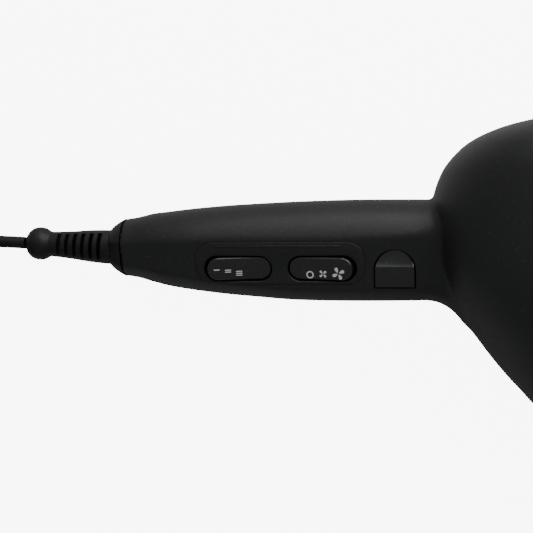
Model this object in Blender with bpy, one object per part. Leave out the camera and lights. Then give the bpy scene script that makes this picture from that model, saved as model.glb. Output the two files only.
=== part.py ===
"""A handheld hair dryer, lying on its side with the control face up, as an assembly of separate pieces.

Every piece is modelled in the dryer's own frame and hangs from one empty that lays it down:
X runs along the handle towards the head, Y along the barrel towards the air intake, and Z out of
the control face. The origin of that frame is where the handle's axis meets the barrel's axis.
The cord and its plug lie on the table, and are modelled in the world frame.
"""

import math

import bmesh
import bpy
from mathutils import Matrix, Vector

MM = 0.001
GAP = 0.3 * MM

# How the dryer lies: its handle slopes down to the table, and the head's side rests on it.
LYING_TILT = math.radians(10)
LYING_PLACE = Vector((92.66, 42.85, 46.25)) * MM

# Housing
WALL = 2.4 * MM
FACET_WALL = 2.6 * MM
HEAD_SIDES = 36
HANDLE_SIDES = 32

# Head, from the intake to the outlet: place on the barrel's axis, reach towards the handle,
# reach away from it, and half height across, in millimetres.
HEAD_STATIONS = (
    (50.3, 25.6, 25.6, 25.6),
    (49.4, 30.4, 30.0, 30.4),
    (47.2, 38.9, 34.6, 35.2),
    (43.3, 47.9, 38.8, 39.4),
    (38.5, 54.3, 41.7, 42.2),
    (31.0, 60.2, 43.6, 43.9),
    (20.3, 63.9, 44.2, 44.2),
    (10.0, 64.3, 44.2, 44.2),
    (-2.0, 62.8, 43.8, 44.2),
    (-14.0, 58.7, 42.4, 43.8),
    (-25.4, 52.9, 39.5, 41.0),
    (-36.0, 45.6, 35.4, 36.6),
    (-48.0, 36.0, 29.6, 30.2),
    (-58.0, 26.9, 25.0, 25.2),
    (-66.0, 22.2, 22.2, 22.2),
    (-98.0, 22.0, 22.0, 22.0),
)

# Handle, from the cord end to the head: place on its axis, edge on the intake side, edge on the
# outlet side, and half thickness, in millimetres.
HANDLE_STATIONS = (
    (-189.2, 13.4, -10.2, 11.4),
    (-184.0, 14.1, -10.9, 12.1),
    (-177.5, 15.6, -12.7, 13.4),
    (-170.5, 16.4, -14.4, 14.6),
    (-160.5, 17.5, -16.0, 15.7),
    (-147.0, 18.6, -17.6, 16.0),
    (-134.0, 19.3, -18.7, 16.0),
    (-117.5, 20.0, -19.9, 16.0),
    (-95.0, 20.5, -20.2, 16.1),
    (-73.0, 20.4, -20.0, 16.6),
    (-65.5, 20.3, -19.9, 17.2),
    (-60.3, 20.3, -21.2, 18.4),
    (-57.2, 20.3, -23.1, 19.4),
    (-54.1, 20.3, -25.8, 20.6),
    (-50.0, 20.0, -30.5, 22.0),
    (-38.0, 19.0, -34.0, 24.0),
)

# Control face: a flat along the handle, turned towards the outlet side.
FACET_TURN = math.radians(16)
FACET_HEIGHT = 13.9 * MM
CONTROL_LINE = -3.5 * MM
PLATE_CENTRE = (-123.25 * MM, -1.3 * MM)
PLATE_HALF = (33.75 * MM, 8.5 * MM)
PLATE_CORNER = 7.0 * MM
PLATE_THICKNESS = 1.5 * MM
PLATE_WELL = (31.2 * MM, 5.4 * MM)

# Rockers
HEAT_X = -139.9 * MM
SPEED_X = -106.4 * MM
WINDOW_HALF = (13.6 * MM, 5.2 * MM)
ROCKER_HALF = (12.9 * MM, 4.6 * MM)
ROCKER_PIVOT = -4.6 * MM
ROCKER_TOP = 0.7 * MM
ROCKER_BOTTOM = -6.8 * MM
ROCKER_TILT = math.radians(6)
PIN_RADIUS = 0.7 * MM

# Cool shot button
BUTTON_X = -78.0 * MM
BUTTON_FOOT = -11.1 * MM
BUTTON_SPRING_LINE = -4.0 * MM
BUTTON_RADIUS = 7.75 * MM
BUTTON_CLEARANCE = 0.45 * MM

# Strain relief: its axis leans 3 degrees towards the intake side.
RELIEF_START = Vector((-188.0, 1.3, 0.0)) * MM
RELIEF_LEAN = math.radians(3)
SLOT_FIRST = 11.6 * MM
SLOT_PITCH = 3.56 * MM
SLOT_COUNT = 6
SLOT_WIDTH = 1.8 * MM

# Motor and fan
SHAFT_RADIUS = 1.5 * MM
SHAFT_BORE = 1.8 * MM
BLADE_COUNT = 9
BLADE_TIP = 33.0 * MM
BLADE_ROOT = 8.5 * MM
VANE_COUNT = 7

# Screws that hold the two housing halves together, placed on the parting plane.
SCREW_PLACES = ((-151.0, 9.5), (-112.0, 10.5), (-72.0, 10.5), (-49.0, -18.0))
BOSS_RADIUS = 3.1 * MM

# Cord
CORD_RADIUS = 2.5 * MM
COIL_CENTRE = Vector((-193.0, 11.0, 0.0)) * MM
COIL_MEAN_RADIUS = 31.9 * MM
COIL_HALF_WIDTH = 7.3 * MM
COIL_BASE = 1.2 * MM
COIL_HEIGHT = 20.4 * MM
CORD_ROUTE = (
    (-136.9, 46.6, 7.4),
    (-142.0, 46.9, 6.5),
    (-148.0, 47.2, 5.5),
    (-154.0, 47.4, 4.6),
    (-161.0, 47.5, 3.7),
    (-166.5, 47.5, 3.1),
    (-172.0, 47.5, 2.9),
)
TAIL_ROUTE = (
    (-229.9, -13.0, 18.3),
    (-229.8, -20.0, 17.6),
    (-229.4, -28.0, 16.2),
    (-228.8, -37.0, 13.9),
    (-228.0, -46.0, 11.5),
    (-227.4, -54.0, 9.8),
    (-227.1, -60.0, 9.0),
    (-227.0, -65.0, 8.7),
)
PLUG_PLACE = Vector((-227.0, -65.3, 8.7)) * MM


# ---------------------------------------------------------------- frames


ALONG_BARREL = Matrix.Rotation(math.radians(-90), 4, "X")
PANEL_TURN = Matrix.Rotation(FACET_TURN, 4, "X")


def panel_frame(x, across=0.0):
    """The frame of the control face at x: its own X along the handle and Z out of the face."""
    return PANEL_TURN @ Matrix.Translation((x, across, FACET_HEIGHT))


def relief_frame():
    """The frame of the strain relief: Z runs out along its axis, and X stays out of the face."""
    lean = Matrix.Rotation(-RELIEF_LEAN, 4, "Z")
    out = Matrix(((0, 0, -1, 0), (0, 1, 0, 0), (1, 0, 0, 0), (0, 0, 0, 1)))
    return Matrix.Translation(RELIEF_START) @ lean @ out


# ---------------------------------------------------------------- making pieces


def clear_scene():
    for obj in list(bpy.data.objects):
        bpy.data.objects.remove(obj, do_unlink=True)


def material(name, colour, roughness, metallic=0.0):
    made = bpy.data.materials.new(name)
    made.use_nodes = True
    shader = made.node_tree.nodes["Principled BSDF"]
    shader.inputs["Base Color"].default_value = (*colour, 1.0)
    shader.inputs["Roughness"].default_value = roughness
    shader.inputs["Metallic"].default_value = metallic
    return made


def new_object(name, bm):
    bmesh.ops.recalc_face_normals(bm, faces=bm.faces)
    mesh = bpy.data.meshes.new(name)
    bm.to_mesh(mesh)
    bm.free()
    mesh.shade_smooth()
    mesh.set_sharp_from_angle(angle=math.radians(35))
    made = bpy.data.objects.new(name, mesh)
    bpy.context.scene.collection.objects.link(made)
    return made


def piece(name, bm, finish, parent=None):
    """A named piece of the dryer, hung from its parent."""
    made = new_object(name, bm)
    made.data.materials.append(finish)
    made.parent = parent
    return made


def helper(name, bm, parent):
    """A cutter or a joining shape, which isn't a piece of the dryer."""
    made = new_object(name, bm)
    made.hide_render = True
    made.display_type = "WIRE"
    made.parent = parent
    return made


def combine(target, other, operation):
    change = target.modifiers.new(f"{operation.title()} {other.name}", "BOOLEAN")
    change.operation = operation
    change.solver = "EXACT"
    change.object = other


def cut(target, other):
    combine(target, other, "DIFFERENCE")


def join(target, other):
    combine(target, other, "UNION")


def bridge(bm, rings, closed=False):
    """Faces between rings of points. A closed chain joins the last ring to the first, and an open one is capped."""
    loops = [[bm.verts.new(point) for point in ring] for ring in rings]
    pairs = list(zip(loops, loops[1:]))
    if closed:
        pairs.append((loops[-1], loops[0]))
    for near, far in pairs:
        for i in range(len(near)):
            j = (i + 1) % len(near)
            bm.faces.new((near[i], near[j], far[j], far[i]))
    if not closed:
        bm.faces.new(loops[0])
        bm.faces.new(loops[-1])
    return bm


def circle(radius, height, sides):
    angles = [2 * math.pi * i / sides for i in range(sides)]
    return [Vector((radius * math.cos(a), radius * math.sin(a), height)) for a in angles]


def turned(profile, sides=24, hollow=False, frame=Matrix()):
    """A shape turned about Z from (radius, height) points in millimetres. A hollow one's profile closes on itself."""
    rings = [circle(radius * MM, height * MM, sides) for radius, height in profile]
    bm = bridge(bmesh.new(), rings, closed=hollow)
    bm.transform(frame)
    return bm


def prism(outline, low, high, frame=Matrix()):
    rings = [[Vector((x, y, z)) for x, y in outline] for z in (low, high)]
    bm = bridge(bmesh.new(), rings)
    bm.transform(frame)
    return bm


def box(low, high, frame=Matrix()):
    outline = [(low[0], low[1]), (high[0], low[1]), (high[0], high[1]), (low[0], high[1])]
    scaled = [(x * MM, y * MM) for x, y in outline]
    return prism(scaled, low[2] * MM, high[2] * MM, frame)


def merged(*parts):
    """One bmesh that holds several separate closed shapes."""
    whole = bmesh.new()
    for part in parts:
        scratch = bpy.data.meshes.new("scratch")
        part.to_mesh(scratch)
        part.free()
        whole.from_mesh(scratch)
        bpy.data.meshes.remove(scratch)
    return whole


def rounded_outline(half_x, half_y, corner, steps=5):
    """A rectangle with round corners, centred on the origin."""
    points = []
    for quarter, (sx, sy) in enumerate(((1, 1), (-1, 1), (-1, -1), (1, -1))):
        for i in range(steps + 1):
            angle = math.pi / 2 * (quarter + i / steps)
            x = sx * (half_x - corner) + corner * math.cos(angle)
            y = sy * (half_y - corner) + corner * math.sin(angle)
            points.append((x, y))
    return points


def capsule_outline(half_x, half_y, grow=0.0, steps=7):
    return rounded_outline(half_x + grow, half_y + grow, (half_y + grow) * 0.999, steps)


def arch_outline(grow=0.0, steps=12):
    """The cool shot button's outline: straight sides on a flat foot, under a half circle."""
    radius = BUTTON_RADIUS + grow
    foot = BUTTON_FOOT - grow
    points = [(-radius, foot), (radius, foot)]
    for i in range(steps + 1):
        angle = math.pi * i / steps
        points.append((radius * math.cos(angle), BUTTON_SPRING_LINE + radius * math.sin(angle)))
    return points


def smooth_rows(rows, steps):
    """Rows of numbers with Catmull-Rom rows put in between, so that a loft's outline is a smooth curve."""
    ends = [rows[0], *rows, rows[-1]]
    result = [rows[0]]
    for a, b, c, d in zip(ends, ends[1:], ends[2:], ends[3:]):
        for i in range(1, steps + 1):
            t = i / steps
            blend = (
                (-t**3 + 2 * t**2 - t) / 2,
                (3 * t**3 - 5 * t**2 + 2) / 2,
                (-3 * t**3 + 4 * t**2 + t) / 2,
                (t**3 - t**2) / 2,
            )
            columns = zip(a, b, c, d)
            result.append(tuple(sum(w * v for w, v in zip(blend, column)) for column in columns))
    return result


# ---------------------------------------------------------------- housing


def head_solid(inset):
    """The head as a loft of ovals along the barrel, drawn in by inset for its hollow."""
    rings = []
    rows = HEAD_STATIONS
    for place, near, far, half in rows:
        left = near * MM - inset
        right = far * MM - inset
        middle = (right - left) / 2
        reach = (right + left) / 2
        height = half * MM - inset
        y = place * MM
        if inset and place == rows[0][0]:
            y -= WALL
        if inset and place == rows[-1][0]:
            y -= 5 * MM
        ring = []
        for point in circle(1.0, 0.0, HEAD_SIDES):
            ring.append(Vector((middle + reach * point.x, y, height * point.y)))
        rings.append(ring)
    if inset:
        # The rim's own ring would cross the one before it once both are drawn in.
        rings = [rings[0], *rings[3:]]
    return bridge(bmesh.new(), rings)


def facet(point, height):
    """The point pressed back onto the control face, if it stands above it."""
    normal = Vector((0.0, -math.sin(FACET_TURN), math.cos(FACET_TURN)))
    above = point.dot(normal) - height
    return point - above * normal if above > 0 else point


def facet_height(row):
    """The control face sinks with the handle where that tapers to the cord."""
    return min(FACET_HEIGHT, row[3] * MM * FACET_HEIGHT / (15.7 * MM))


def handle_ring(row, inset, facet_wall):
    place, top, bottom, half = row
    centre = (top + bottom) / 2 * MM
    reach = (top - bottom) / 2 * MM - inset
    depth = half * MM - inset
    limit = facet_height(row) - facet_wall
    ring = []
    for point in circle(1.0, 0.0, HANDLE_SIDES):
        on_oval = Vector((0.0, centre + reach * point.x, depth * point.y))
        flat = facet(on_oval, limit)
        ring.append(Vector((place * MM, flat.y, flat.z)))
    return ring


def handle_solid(inset):
    rows = smooth_rows(HANDLE_STATIONS, 1)
    facet_wall = FACET_WALL if inset else 0.0
    rings = [handle_ring(row, inset, facet_wall) for row in rows]
    if inset:
        first = [point - Vector((5 * MM, 0, 0)) for point in rings[0]]
        rings = [first, *rings]
    return bridge(bmesh.new(), rings)


def screw_holes():
    """A pilot hole up into each boss, and a counterbore from the table side for the screw's head."""
    shapes = []
    for x, y in SCREW_PLACES:
        profile = ((3.0, -60.0), (3.0, -6.0), (1.55, -6.0), (1.55, 12.0))
        shapes.append(turned(profile, 12, frame=Matrix.Translation((x * MM, y * MM, 0))))
    return merged(*shapes)


def bosses():
    shapes = []
    for x, y in SCREW_PLACES:
        profile = ((BOSS_RADIUS / MM, -60.0), (BOSS_RADIUS / MM, 60.0))
        shapes.append(turned(profile, 12, frame=Matrix.Translation((x * MM, y * MM, 0))))
    return merged(*shapes)


def control_openings():
    """The plate's recess, the well under it, and the button's arch."""
    over = 6 * MM
    plate = rounded_outline(PLATE_HALF[0] + GAP, PLATE_HALF[1] + GAP, PLATE_CORNER + GAP)
    recess = prism(plate, -PLATE_THICKNESS - GAP, over, panel_frame(*PLATE_CENTRE))
    middle = (HEAT_X + SPEED_X) / 2
    well = prism(
        rounded_outline(*PLATE_WELL, 4 * MM, 3), -over, 0.5 * MM, panel_frame(middle, CONTROL_LINE)
    )
    arch = prism(arch_outline(BUTTON_CLEARANCE), -over, over, panel_frame(BUTTON_X))
    return recess, well, arch


def make_housing(lying, shell_finish):
    head = helper("head_hollow", head_solid(WALL), lying)
    grip = helper("handle_hollow", handle_solid(WALL), lying)
    posts = helper("screw_bosses", bosses(), lying)
    join(head, grip)
    cut(head, posts)
    holes = helper("screw_holes", screw_holes(), lying)
    intake = helper("intake_opening", turned(((23.0, 40.0), (23.0, 60.0)), 32, frame=ALONG_BARREL), lying)
    handle = helper("handle_outside", handle_solid(0.0), lying)
    openings = [helper(f"control_opening_{i}", shape, lying) for i, shape in enumerate(control_openings())]
    gap = GAP / MM / 2
    halves = {
        "housing_upper": box((-250, -150, -80), (80, 80, gap)),
        "housing_lower": box((-250, -150, -gap), (80, 80, 80)),
    }
    for name, other_side in halves.items():
        shell = piece(name, head_solid(0.0), shell_finish, lying)
        join(shell, handle)
        cut(shell, head)
        cut(shell, helper(f"{name}_parting", other_side, lying))
        cut(shell, intake)
        cut(shell, holes)
        if name == "housing_upper":
            for opening in openings:
                cut(shell, opening)


def screw_shape(length, head_radius=2.6, shank_radius=1.25):
    """A pan head screw along Z, its head's underside at the origin and its recess still to be cut."""
    profile = (
        (head_radius - 0.5, -1.6),
        (head_radius, -1.1),
        (head_radius, 0.0),
        (shank_radius, 0.0),
        (shank_radius, length - 1.0),
        (shank_radius * 0.4, length),
    )
    return turned(profile, 12)


def cross_recess(reach=1.5, half_width=0.35, depth=1.0):
    """A plus-shaped outline pushed up into a screw's head."""
    a, b = reach * MM, half_width * MM
    outline = [(a, b), (b, b), (b, a), (-b, a), (-b, b), (-a, b)]
    outline += [(-x, -y) for x, y in outline]
    return prism(outline, -3 * MM, (-1.6 + depth) * MM)


def make_screws(lying, steel):
    for i, (x, y) in enumerate(SCREW_PLACES, 1):
        screw = piece(f"housing_screw_{i}", screw_shape(16.6), steel, lying)
        screw.location = (x * MM, y * MM, -6.3 * MM)
        own = helper(f"housing_screw_{i}_recess", cross_recess(), lying)
        own.location = screw.location
        cut(screw, own)


# ---------------------------------------------------------------- controls


def make_control_plate(lying, finish):
    outline = rounded_outline(*PLATE_HALF, PLATE_CORNER)
    plate = piece(
        "control_plate",
        prism(outline, -PLATE_THICKNESS, 0.1 * MM, panel_frame(*PLATE_CENTRE)),
        finish,
        lying,
    )
    windows = []
    for x in (HEAT_X, SPEED_X):
        outline = capsule_outline(*WINDOW_HALF)
        windows.append(prism(outline, -4 * MM, 4 * MM, panel_frame(x, CONTROL_LINE)))
    cut(plate, helper("rocker_windows", merged(*windows), lying))


def rocker_shape():
    """A rocker with its pivot at the origin: it narrows below, and its top edge is rounded."""
    levels = (
        (ROCKER_BOTTOM, -0.7 * MM),
        (ROCKER_BOTTOM + 2 * MM, 0.0),
        (ROCKER_TOP - 0.6 * MM, 0.0),
        (ROCKER_TOP, -0.7 * MM),
    )
    rings = []
    for height, grow in levels:
        outline = capsule_outline(*ROCKER_HALF, grow)
        rings.append([Vector((x, y, height - ROCKER_PIVOT)) for x, y in outline])
    return bridge(bmesh.new(), rings)


def make_rocker(name, x, tilt, lying, finish, steel, block_finish):
    """A rocker on its pin, over the switch block whose two ears hold the pin."""
    frame = panel_frame(x, CONTROL_LINE)
    pivot = bpy.data.objects.new(f"{name}_pivot", None)
    bpy.context.scene.collection.objects.link(pivot)
    pivot.parent = lying
    pivot.matrix_local = frame @ Matrix.Translation((0, 0, ROCKER_PIVOT)) @ Matrix.Rotation(tilt, 4, "Y")
    rocker = piece(f"{name}_rocker", rocker_shape(), finish, pivot)
    across = Matrix.Rotation(math.radians(90), 4, "X")
    bore = turned(((1.05, -8.0), (1.05, 8.0)), 12, frame=across)
    cut(rocker, helper(f"{name}_rocker_bore", bore, pivot))
    at_pin = frame @ Matrix.Translation((0, 0, ROCKER_PIVOT)) @ across
    reach = 6.1
    pin = turned(((PIN_RADIUS / MM, -reach), (PIN_RADIUS / MM, reach)), 12, frame=at_pin)
    piece(f"{name}_rocker_pin", pin, steel, lying)
    block = piece(f"{name}_switch_body", box((-11, -5.2, -16.0), (11, 5.2, -8.6), frame), block_finish, lying)
    for side in (-1, 1):
        low, high = sorted((side * 5.0, side * 6.3))
        ear = box((-2.2, low, -11.0), (2.2, high, -2.9), frame)
        join(block, helper(f"{name}_ear_{side}", ear, lying))
    hole = turned(((1.0, -8.0), (1.0, 8.0)), 12, frame=at_pin)
    cut(block, helper(f"{name}_ear_holes", hole, lying))


def make_cool_shot(lying, finish, block_finish):
    """The arched button slides in along the face's normal, and its post runs down into the switch."""
    slide = bpy.data.objects.new("cool_shot_slide", None)
    bpy.context.scene.collection.objects.link(slide)
    slide.parent = lying
    slide.matrix_local = panel_frame(BUTTON_X)
    rings = []
    for height, grow in ((-4.4, 0.9), (-2.9, 0.9), (-2.9, 0.0), (-0.1, 0.0), (0.4, -0.5)):
        rings.append([Vector((x, y, height * MM)) for x, y in arch_outline(grow * MM)])
    button = piece("cool_shot_button", bridge(bmesh.new(), rings), finish, slide)
    post = Matrix.Translation((0, BUTTON_SPRING_LINE, 0))
    join(button, helper("cool_shot_post", turned(((1.5, -9.0), (1.5, -3.5)), 12, frame=post), slide))
    at_post = panel_frame(BUTTON_X) @ post
    block = piece(
        "cool_shot_switch", box((-6.5, -4.5, -13.6), (6.5, 4.5, -7.0), at_post), block_finish, lying
    )
    hole = turned(((1.9, -11.6), (1.9, 0.0)), 12, frame=at_post)
    cut(block, helper("cool_shot_switch_hole", hole, lying))


# ---------------------------------------------------------------- cord end of the handle


def make_end_cap(lying, finish):
    """A domed cap that closes the handle around the strain relief, with a spigot inside the shells."""
    first = HANDLE_STATIONS[0]
    outside = ((-189.5, 0.0), (-191.2, 0.9), (-192.8, 1.9), (-194.4, 3.1), (-195.6, 4.4))
    rings = [
        [point + Vector(((place - first[0]) * MM, 0, 0)) for point in handle_ring(first, WALL + GAP, FACET_WALL + GAP)]
        for place in (-185.6, outside[0][0])
    ]
    for place, inset in outside:
        shift = Vector((place * MM - first[0] * MM, 0, 0))
        rings.append([point + shift for point in handle_ring(first, inset * MM, inset * MM)])
    cap = piece("handle_end_cap", bridge(bmesh.new(), rings), finish, lying)
    bore = turned(((7.25, -12.0), (7.25, 20.0)), 24, frame=relief_frame())
    cut(cap, helper("end_cap_bore", bore, lying))


def make_strain_relief(lying, finish):
    """A tapered boot with a bead at its mouth. Slots on both faces let it flex, and spines join its rings."""
    profile = (
        (8.4, 1.0),
        (8.4, 3.0),
        (6.9, 3.0),
        (6.9, 6.0),
        (7.1, 9.0),
        (6.65, 16.9),
        (5.8, 24.7),
        (5.2, 32.5),
        (5.2, 34.0),
        (5.9, 35.4),
        (6.7, 36.9),
        (6.85, 38.8),
        (6.6, 40.7),
        (5.8, 42.3),
        (4.6, 43.5),
        (3.1, 44.4),
    )
    frame = relief_frame()
    inner = [(radius, height) if height > 5 else (6.9, height - 4) for radius, height in profile[2:]]
    relief = piece("strain_relief", turned([(6.9, -2.0), *inner[1:]], 24, frame=frame), finish, lying)
    slots = []
    for i in range(SLOT_COUNT):
        at = (SLOT_FIRST + i * SLOT_PITCH) / MM
        half = SLOT_WIDTH / MM / 2
        reach = 5.5 - 0.24 * i
        for side in (-1, 1):
            low, high = sorted((side * 2.6, side * 9.0))
            slots.append(box((low, -reach, at - half), (high, reach, at + half), frame))
    cut(relief, helper("strain_relief_slots", merged(*slots), lying))


def make_cord_clamp(lying, finish, steel, jacket):
    """Inside the handle the jacketed cord runs through a two part clamp with two screws."""
    cord_y = 0.7
    along = Matrix.Translation((0, cord_y * MM, 0)) @ Matrix.Rotation(math.radians(-90), 4, "Y")
    inner = turned(((2.5, 162.0), (2.5, 184.5)), 12, frame=along)
    piece("cord_inner_end", inner, jacket, lying)
    groove = turned(((2.8, 150.0), (2.8, 190.0)), 12, frame=along)
    groove_cutter = helper("clamp_groove", groove, lying)
    screws = [(-168.0, cord_y - 6.0), (-168.0, cord_y + 6.0)]
    holes = [turned(((1.2, -20), (1.2, 20)), 12, frame=Matrix.Translation((x * MM, y * MM, 0))) for x, y in screws]
    hole_cutter = helper("clamp_holes", merged(*holes), lying)
    halves = {"clamp_base": (-8.6, -0.4), "clamp_bridge": (0.4, 5.0)}
    for name, (low, high) in halves.items():
        half = piece(name, box((-172, cord_y - 8.5, low), (-164, cord_y + 8.5, high)), finish, lying)
        cut(half, groove_cutter)
        cut(half, hole_cutter)
    for i, (x, y) in enumerate(screws, 1):
        place = Matrix.Translation((x * MM, y * MM, 5.3 * MM)) @ Matrix.Rotation(math.pi, 4, "X")
        shape = screw_shape(12.0, 1.9, 0.9)
        shape.transform(place)
        screw = piece(f"clamp_screw_{i}", shape, steel, lying)
        recess = cross_recess(1.1, 0.3, 0.8)
        recess.transform(place)
        cut(screw, helper(f"clamp_screw_{i}_recess", recess, lying))


# ---------------------------------------------------------------- air path


def make_rear_filter(lying, finish, screen_finish):
    """The intake grille pulls off the back of the head, with its screen inside its skirt."""
    profile = (
        (21.4, 44.0),
        (22.7, 44.0),
        (22.7, 50.6),
        (25.0, 50.6),
        (25.1, 51.6),
        (24.2, 52.6),
        (12.0, 54.0),
        (2.0, 54.3),
        (2.0, 52.2),
        (21.4, 50.6),
    )
    cap = piece("rear_filter_cap", turned(profile, 32, hollow=True, frame=ALONG_BARREL), finish, lying)
    holes = []
    for ring, count in ((6.0, 6), (11.2, 12), (16.4, 18)):
        for i in range(count):
            angle = 2 * math.pi * i / count
            place = Matrix.Translation((ring * MM * math.cos(angle), ring * MM * math.sin(angle), 0))
            holes.append(turned(((1.9, 48.0), (1.9, 58.0)), 6, frame=ALONG_BARREL @ place))
    cut(cap, helper("filter_cap_holes", merged(*holes), lying))
    screen = turned(((21.0, 47.6), (21.0, 48.3)), 32, frame=ALONG_BARREL)
    piece("filter_screen", screen, screen_finish, lying)


def pitched_blade(root, tip, low, high, pitch_root, pitch_tip, thickness, angle):
    """One blade that runs out from the barrel's axis, twisting from its root's pitch to its tip's."""
    rings = []
    steps = 4
    for i in range(steps + 1):
        t = i / steps
        radius = root + (tip - root) * t
        pitch = pitch_root + (pitch_tip - pitch_root) * t
        chord = (high - low) / 2 / max(math.cos(pitch), 0.4)
        middle = (high + low) / 2
        ring = []
        for along, across in ((-1, -1), (1, -1), (1, 1), (-1, 1)):
            u = along * chord
            v = across * thickness / 2
            side = u * math.sin(pitch) + v * math.cos(pitch)
            height = u * math.cos(pitch) - v * math.sin(pitch)
            ring.append(Vector((radius, side, middle + height)))
        rings.append(ring)
    bm = bridge(bmesh.new(), rings)
    bm.transform(ALONG_BARREL @ Matrix.Rotation(angle, 4, "Z"))
    return bm


def spread_blades(count, *blade):
    return merged(*[pitched_blade(*blade, 2 * math.pi * i / count) for i in range(count)])


def make_fan(lying, duct_finish, fan_finish):
    """The duct's vanes hold the motor's sleeve, and the impeller turns behind them."""
    duct = piece(
        "fan_duct",
        turned(((34.4, -10.0), (36.8, -10.0), (36.8, 33.0), (34.4, 33.0)), 32, True, ALONG_BARREL),
        duct_finish,
        lying,
    )
    sleeve = turned(((18.6, -10.0), (20.6, -10.0), (20.6, 12.0), (18.6, 12.0)), 24, True, ALONG_BARREL)
    vanes = spread_blades(
        VANE_COUNT, 19.6 * MM, 35.4 * MM, -9 * MM, 11 * MM, math.radians(-22), math.radians(-22), 1.4 * MM
    )
    join(duct, helper("motor_sleeve", sleeve, lying))
    join(duct, helper("duct_vanes", vanes, lying))
    hub_profile = ((1.8, 20.0), (9.6, 20.0), (10.0, 22.0), (9.0, 31.0), (5.0, 34.0), (1.8, 34.0))
    hub = turned(hub_profile, 24, True, ALONG_BARREL)
    impeller = piece("fan_impeller", hub, fan_finish, lying)
    blades = spread_blades(
        BLADE_COUNT, BLADE_ROOT, BLADE_TIP, 21 * MM, 32 * MM, math.radians(30), math.radians(58), 1.3 * MM
    )
    join(impeller, helper("impeller_blades", blades, lying))


def make_motor(lying, can_finish, steel, iron, copper, carbon, bearing_finish, board_finish):
    barrel = ALONG_BARREL
    can = ((16.7, -16.0), (18.2, -16.0), (18.2, 14.0), (4.3, 14.0), (4.3, 12.5), (16.7, 12.5))
    piece("motor_can", turned(can, 28, True, barrel), can_finish, lying)
    cap = ((4.3, -18.5), (18.0, -18.5), (18.0, -16.3), (4.3, -16.3))
    piece("motor_end_cap", turned(cap, 28, True, barrel), bearing_finish, lying)
    piece("motor_shaft", turned(((1.2, -19.8), (1.5, -19.4), (1.5, 37.4), (1.2, 37.8)), 16, frame=barrel), steel, lying)
    for name, low, high in (("rear_bearing", 10.6, 14.6), ("front_bearing", -19.0, -15.4)):
        piece(name, turned(((1.8, low), (4.0, low), (4.0, high), (1.8, high)), 16, True, barrel), steel, lying)
    magnet = ((13.6, -6.0), (16.4, -6.0), (16.4, 9.0), (13.6, 9.0))
    piece("magnet_ring", turned(magnet, 28, True, barrel), iron, lying)
    armature = ((1.8, -6.5), (9.0, -6.5), (12.6, -4.5), (12.6, 7.5), (9.0, 9.3), (1.8, 9.3))
    piece("armature", turned(armature, 24, True, barrel), copper, lying)
    commutator = ((1.8, -14.0), (4.6, -14.0), (4.6, -8.2), (6.0, -8.2), (6.0, -7.0), (1.8, -7.0))
    piece("commutator", turned(commutator, 20, True, barrel), copper, lying)
    for i, side in enumerate((-1, 1), 1):
        low, high = sorted((side * 4.9, side * 12.0))
        piece(f"brush_{i}", box((-1.6, -12.5, low), (1.6, -9.5, high)), carbon, lying)
    piece("rectifier_board", box((-11, -22.6, -8), (11, -21.2, 8)), board_finish, lying)


def make_heater(lying, mica, wire, steel, ceramic):
    """Two crossed mica boards carry the heating wire inside a mica sleeve."""
    sleeve = ((18.3, -90.0), (19.0, -90.0), (19.0, -34.0), (18.3, -34.0))
    piece("heater_sleeve", turned(sleeve, 28, True, ALONG_BARREL), mica, lying)
    board_a = piece("mica_board_a", box((-15.5, -88, -0.4), (15.5, -32, 0.4)), mica, lying)
    board_b = piece("mica_board_b", box((-0.4, -88, -15.5), (0.4, -32, 15.5)), mica, lying)
    cut(board_a, helper("board_a_slit", box((-0.7, -95, -2), (0.7, -59.8, 2)), lying))
    cut(board_b, helper("board_b_slit", box((-2, -60.2, -0.7), (2, -25, 0.7)), lying))
    for name, low, high in (("heating_coil_1", -56.0, -36.0), ("heating_coil_2", -84.0, -62.0)):
        turns, steps = 4, 16
        points = []
        for i in range(turns * steps + 1):
            angle = 2 * math.pi * i / steps
            y = low + (high - low) * i / (turns * steps)
            points.append((16.9 * math.cos(angle), y, 16.9 * math.sin(angle)))
        tube(name, points, 0.45 * MM, 1, wire, lying)
    piece("thermal_cutout", turned(((4.0, -52.0), (4.0, -48.0)), 16, frame=at_barrel(6.6, 6.6)), steel, lying)
    piece("thermal_fuse", turned(((1.6, -54.0), (1.6, -44.0)), 12, frame=at_barrel(-6.6, -6.6)), ceramic, lying)


def at_barrel(x, z):
    """The barrel's frame, moved sideways by x and z millimetres."""
    return Matrix.Translation((x * MM, 0, z * MM)) @ ALONG_BARREL


def make_outlet(lying, finish, grille_finish):
    bezel = (
        (17.6, -95.4),
        (19.1, -95.4),
        (19.1, -98.3),
        (22.0, -98.3),
        (22.0, -100.6),
        (21.2, -101.4),
        (17.6, -101.4),
    )
    piece("outlet_bezel", turned(bezel, 32, True, ALONG_BARREL), finish, lying)
    rim = ((17.2, -94.9), (19.1, -94.9), (19.1, -92.7), (17.2, -92.7))
    grille = piece("outlet_grille", turned(rim, 32, True, ALONG_BARREL), grille_finish, lying)
    hoops = [((5.4, -94.5), (6.4, -94.5), (6.4, -93.1), (5.4, -93.1))]
    hoops.append(((11.4, -94.5), (12.4, -94.5), (12.4, -93.1), (11.4, -93.1)))
    join(grille, helper("grille_hoops", merged(*[turned(h, 24, True, ALONG_BARREL) for h in hoops]), lying))
    spokes = [box((-18.2, -94.3, -0.5), (18.2, -93.3, 0.5)), box((-0.5, -94.4, -18.2), (0.5, -93.2, 18.2))]
    for i, spoke in enumerate(spokes):
        join(grille, helper(f"grille_spoke_{i}", spoke, lying))


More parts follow.
